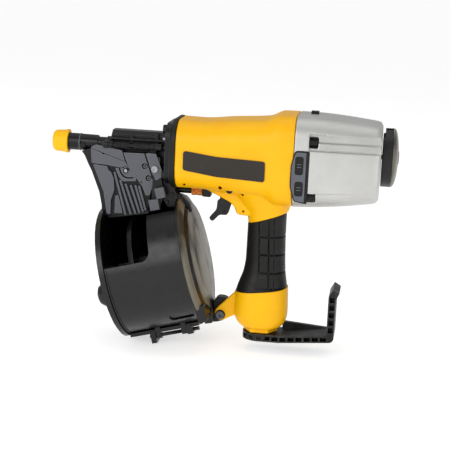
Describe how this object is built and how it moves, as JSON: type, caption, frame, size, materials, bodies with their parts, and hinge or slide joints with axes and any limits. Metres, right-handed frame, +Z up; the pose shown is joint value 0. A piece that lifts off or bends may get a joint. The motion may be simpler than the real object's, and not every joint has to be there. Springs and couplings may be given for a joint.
{
  "type": "pneumatic coil nailer",
  "caption": "Air-driven framing nailer with a yellow housing, silver end cap, black coil canister, side door, trigger, contact trip and swivelling hook.",
  "frame": {"origin": "middle of the tool's bounding box in plan, on its lowest point", "axes": "+X along the drive axis from the nose tip to the exhaust, +Y to the tool's right side (away from the door), +Z up, square to the drive axis"},
  "size_m": [0.3418, 0.132, 0.2413],
  "materials": {
    "yellow_body": "painted satin",
    "yellow_tip": "satin moulded",
    "silver_body": "painted satin",
    "black_screws": "black oxide",
    "black_rubber": "matte moulded",
    "plate_grey": "satin",
    "black_metal": "black phosphated steel",
    "steel": "ground",
    "piston_alloy": "machined",
    "black_plastic": "moulded",
    "depth_brass": "knurled",
    "door_grey": "dark grey satin"
  },
  "bodies": {
    "root": {"main_housing": "yellow_body", "cylinder_cap": "silver_body", "cap_screw_1": "black_screws", "cap_screw_2": "black_screws", "cap_screw_3": "black_screws", "cap_screw_4": "black_screws", "top_bumper": "black_rubber", "side_pad_left": "black_rubber", "side_pad_right": "black_rubber", "name_plate_left": "plate_grey", "name_plate_right": "plate_grey", "front_cover": "black_rubber", "nose_casting": "black_metal", "nose_screw_1": "black_screws", "nose_screw_2": "black_screws", "nose_screw_3": "black_screws", "nose_screw_4": "black_screws", "cylinder_sleeve": "steel", "bumper": "black_rubber", "head_valve_spring": "steel", "valve_body": "black_plastic", "trigger_pin": "steel", "handle_grip": "black_rubber", "handle_end_cap": "yellow_body", "inlet_bushing": "steel", "canister_base": "black_plastic", "canister_dome": "black_plastic", "canister_post": "steel", "cover_hinge_pin": "steel", "canister_bracket": "black_plastic", "bracket_screw": "black_screws", "door_hinge_pin": "steel", "feeder_housing": "black_metal", "feeder_plug": "black_metal", "feed_spring": "steel", "deflector_screw": "black_screws"},
    "deflector": {"exhaust_deflector": "black_plastic"},
    "drive_piston": {"piston": "piston_alloy", "piston_ring": "black_rubber", "driver_blade": "steel"},
    "head_valve": {"head_valve": "black_plastic"},
    "trigger": {"trigger": "black_plastic", "lever_pin": "steel"},
    "lever": {"trigger_lever": "steel"},
    "valve_stem": {"valve_stem": "steel"},
    "contact_trip": {"contact_trip": "black_metal", "no_mar_tip": "yellow_tip", "trip_foot": "black_metal"},
    "depth_wheel": {"depth_wheel": "depth_brass"},
    "door": {"door": "door_grey", "latch_screw": "black_screws"},
    "latch": {"door_latch": "door_grey"},
    "cover": {"canister_cover": "black_plastic"},
    "platform": {"nail_platform": "black_plastic"},
    "feeder": {"feed_piston": "steel", "feed_pawl": "steel"},
    "hook": {"hook": "black_plastic"}
  },
  "joints": [
    {"name": "deflector_swivel", "type": "hinge", "parent": "root", "child": "deflector", "pos_m": [0.1591, 0, 0.2013], "axis": [1, 0, 0], "continuous": true},
    {"name": "piston_drive", "type": "slide", "parent": "root", "child": "drive_piston", "axis": [-1, 0, 0], "range_m": [0, 0.089]},
    {"name": "head_valve_lift", "type": "slide", "parent": "root", "child": "head_valve", "axis": [1, 0, 0], "range_m": [0, 0.005], "stiffness_N_per_m": 400, "springref_m": -0.004, "deforming": ["head_valve_spring"]},
    {"name": "trigger_pull", "type": "hinge", "parent": "root", "child": "trigger", "pos_m": [0.0019, 0, 0.1653], "axis": [0, -1, 0], "range_deg": [0, 8], "stiffness_Nm_per_rad": 0.4, "springref_deg": -5.73},
    {"name": "lever_swing", "type": "hinge", "parent": "trigger", "child": "lever", "pos_m": [0.0037, 0, 0.1378], "axis": [0, 1, 0], "range_deg": [0, 10.6]},
    {"name": "stem_push", "type": "slide", "parent": "root", "child": "valve_stem", "axis": [1, 0, 0], "range_m": [0, 0.0025], "stiffness_N_per_m": 40, "springref_m": -0.0015},
    {"name": "trip_slide", "type": "slide", "parent": "root", "child": "contact_trip", "axis": [1, 0, 0], "range_m": [0, 0.008], "stiffness_N_per_m": 300, "springref_m": -0.008},
    {"name": "depth_wheel_turn", "type": "hinge", "parent": "contact_trip", "child": "depth_wheel", "pos_m": [-0.0249, 0, 0.1559], "axis": [1, 0, 0], "continuous": true},
    {"name": "door_swing", "type": "hinge", "parent": "root", "child": "door", "pos_m": [-0.0909, -0.019, 0.1989], "axis": [-1, 0, 0], "range_deg": [0, 95]},
    {"name": "latch_turn", "type": "hinge", "parent": "door", "child": "latch", "pos_m": [-0.0645, -0.018, 0.1777], "axis": [0, 1, 0], "range_deg": [0, 15], "stiffness_Nm_per_rad": 0.15, "springref_deg": -5.73},
    {"name": "cover_swing", "type": "hinge", "parent": "root", "child": "cover", "pos_m": [-0.04249, -0.013, 0.01171], "axis": [0.9659, 0, 0.2588], "range_deg": [0, 100]},
    {"name": "platform_slide", "type": "slide", "parent": "root", "child": "platform", "axis": [0.9659, 0, 0.2588], "range_m": [-0.018, 0.022]},
    {"name": "feed_stroke", "type": "slide", "parent": "root", "child": "feeder", "axis": [-0.2588, 0, 0.9659], "range_m": [0, 0.0075], "stiffness_N_per_m": 300, "springref_m": -0.004, "deforming": ["feed_spring"]},
    {"name": "hook_swivel", "type": "hinge", "parent": "root", "child": "hook", "pos_m": [0.0456, 0, 0.0185], "axis": [0, 0, 1], "range_deg": [-100, 100]}
  ],
  "couplings": [
    {"joint": "lever_swing", "follows": "trip_slide", "rad_per_m": 22.9}
  ]
}
